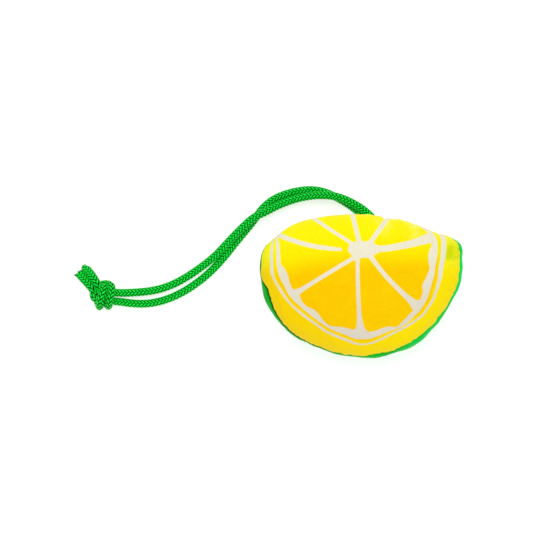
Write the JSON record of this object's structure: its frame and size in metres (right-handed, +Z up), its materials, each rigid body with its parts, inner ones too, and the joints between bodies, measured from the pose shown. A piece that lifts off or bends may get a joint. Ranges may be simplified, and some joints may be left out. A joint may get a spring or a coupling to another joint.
{
  "type": "folded shopping bag in a lemon slice pouch",
  "caption": "Stuffed round cloth pouch with a printed citrus slice on its front and a plain green back, drawn shut by a braided cord that ends in a knot.",
  "frame": {"origin": "on the floor, under the middle of the pouch's bounding box, measured without the free cord", "axes": "+Z up out of the printed front, +X to the right along the pouch's width, +Y towards its drawn mouth"},
  "size_m": [0.2345, 0.1042, 0.043],
  "materials": {
    "yellow_print_cloth": "thin woven polyester with a soft sheen, printed with an off-white slice pattern",
    "green_cloth": "thin woven polyester with a soft sheen",
    "green_cord": "sixteen-strand polyester braid, slightly glossy yarn"
  },
  "bodies": {
    "root": {"front_panel": "yellow_print_cloth", "back_panel": "green_cloth", "mouth_hem": "green_cloth", "cord_strand_a": "green_cord", "cord_strand_b": "green_cord", "cord_knot": "green_cord", "cord_tail_a": "green_cord", "cord_tail_b": "green_cord"}
  },
  "joints": []
}
